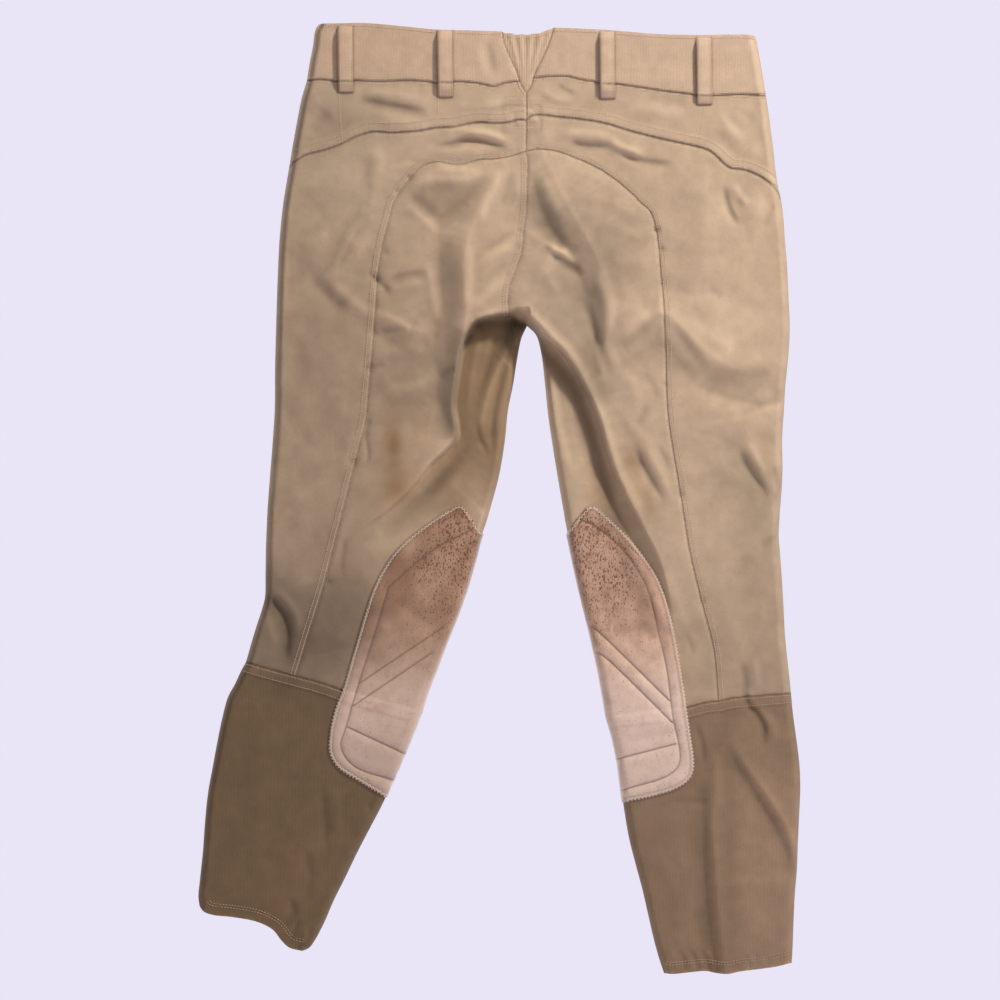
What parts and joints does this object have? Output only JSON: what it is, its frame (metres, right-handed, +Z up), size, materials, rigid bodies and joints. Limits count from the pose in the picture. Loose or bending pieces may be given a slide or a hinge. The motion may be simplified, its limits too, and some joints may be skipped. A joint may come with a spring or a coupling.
{
  "type": "riding breeches",
  "caption": "Stretch riding breeches lying flat, with yoked seat, elastic back gusset, belt loops, front zip, suede inner-knee patches and ribbed calf cuffs.",
  "frame": {"origin": "middle of the waist opening, level with the top edge of the back waistband, half way through the garment's thickness", "axes": "+Z up from the hems to the waist, -Y out of the back of the garment, +Y out of its front, +X towards the wearer's right side"},
  "size_m": [0.572, 0.0471, 0.9025],
  "materials": {
    "twill": "matte stretch twill, used, with faint stains",
    "band": "fine vertical rib on the stretch waistband",
    "elastic": "gathered elastic",
    "suede": "worn suede with a raised, pilled nap",
    "cuff": "dark ribbed stretch jersey",
    "tape": "woven zip tape",
    "metal": "antique brass, worn at the edges",
    "label": "plain woven ribbon, no text"
  },
  "bodies": {
    "seat": {"waistband_back_left": "band", "waistband_back_right": "band", "back_gusset": "elastic", "yoke_left": "twill", "yoke_right": "twill", "seat_outer_left": "twill", "seat_inner_left": "twill", "seat_outer_right": "twill", "seat_inner_right": "twill", "waistband_front_left": "band", "waistband_front_right": "band", "front_upper_left": "twill", "front_upper_right": "twill", "belt_loops_back": "twill", "belt_loops_front": "twill", "zip_tape_left": "tape", "zip_tape_right": "tape", "zip_teeth_left": "metal", "zip_teeth_right": "metal", "zip_top_stops": "metal", "zip_bottom_stop": "metal", "waist_studs": "metal", "fly_shield": "twill", "blank_label": "label"},
    "thigh_left": {"thigh_outer_left": "twill", "thigh_inner_left": "twill", "front_thigh_left": "twill", "knee_patch_upper_left": "suede"},
    "thigh_right": {"thigh_outer_right": "twill", "thigh_inner_right": "twill", "front_thigh_right": "twill", "knee_patch_upper_right": "suede"},
    "calf_left": {"cuff_back_left": "cuff", "cuff_front_left": "cuff", "knee_patch_lower_left": "suede"},
    "calf_right": {"cuff_back_right": "cuff", "cuff_front_right": "cuff", "knee_patch_lower_right": "suede"},
    "waist_flap": {"waist_tab": "band", "waist_stud_sockets": "metal"},
    "slider": {"zip_slider": "metal"},
    "pull": {"zip_pull": "metal"}
  },
  "joints": [
    {"name": "hip_left", "type": "hinge", "parent": "seat", "child": "thigh_left", "pos_m": [-0.12445, 0.0212, -0.34295], "axis": [1, 0, 0], "range_deg": [0, 90]},
    {"name": "hip_right", "type": "hinge", "parent": "seat", "child": "thigh_right", "pos_m": [0.133, 0.0212, -0.34295], "axis": [1, 0, 0], "range_deg": [0, 90]},
    {"name": "knee_left", "type": "hinge", "parent": "thigh_left", "child": "calf_left", "pos_m": [-0.1748, -0.0196, -0.63175], "axis": [-0.9617, 0, 0.274], "range_deg": [0, 110]},
    {"name": "knee_right", "type": "hinge", "parent": "thigh_right", "child": "calf_right", "pos_m": [0.15485, -0.0196, -0.64838], "axis": [-0.9926, 0, -0.1215], "range_deg": [0, 110]},
    {"name": "waist_tab_open", "type": "hinge", "parent": "seat", "child": "waist_flap", "pos_m": [0.0222, 0.0234, -0.045], "axis": [0, 0, -1], "range_deg": [0, 120]},
    {"name": "zip_slide", "type": "slide", "parent": "seat", "child": "slider", "axis": [0, 0, -1], "range_m": [0, 0.092]},
    {"name": "pull_flip", "type": "hinge", "parent": "slider", "child": "pull", "pos_m": [0.002, 0.0217, -0.07999], "axis": [1, 0, 0], "range_deg": [0, 165]}
  ]
}
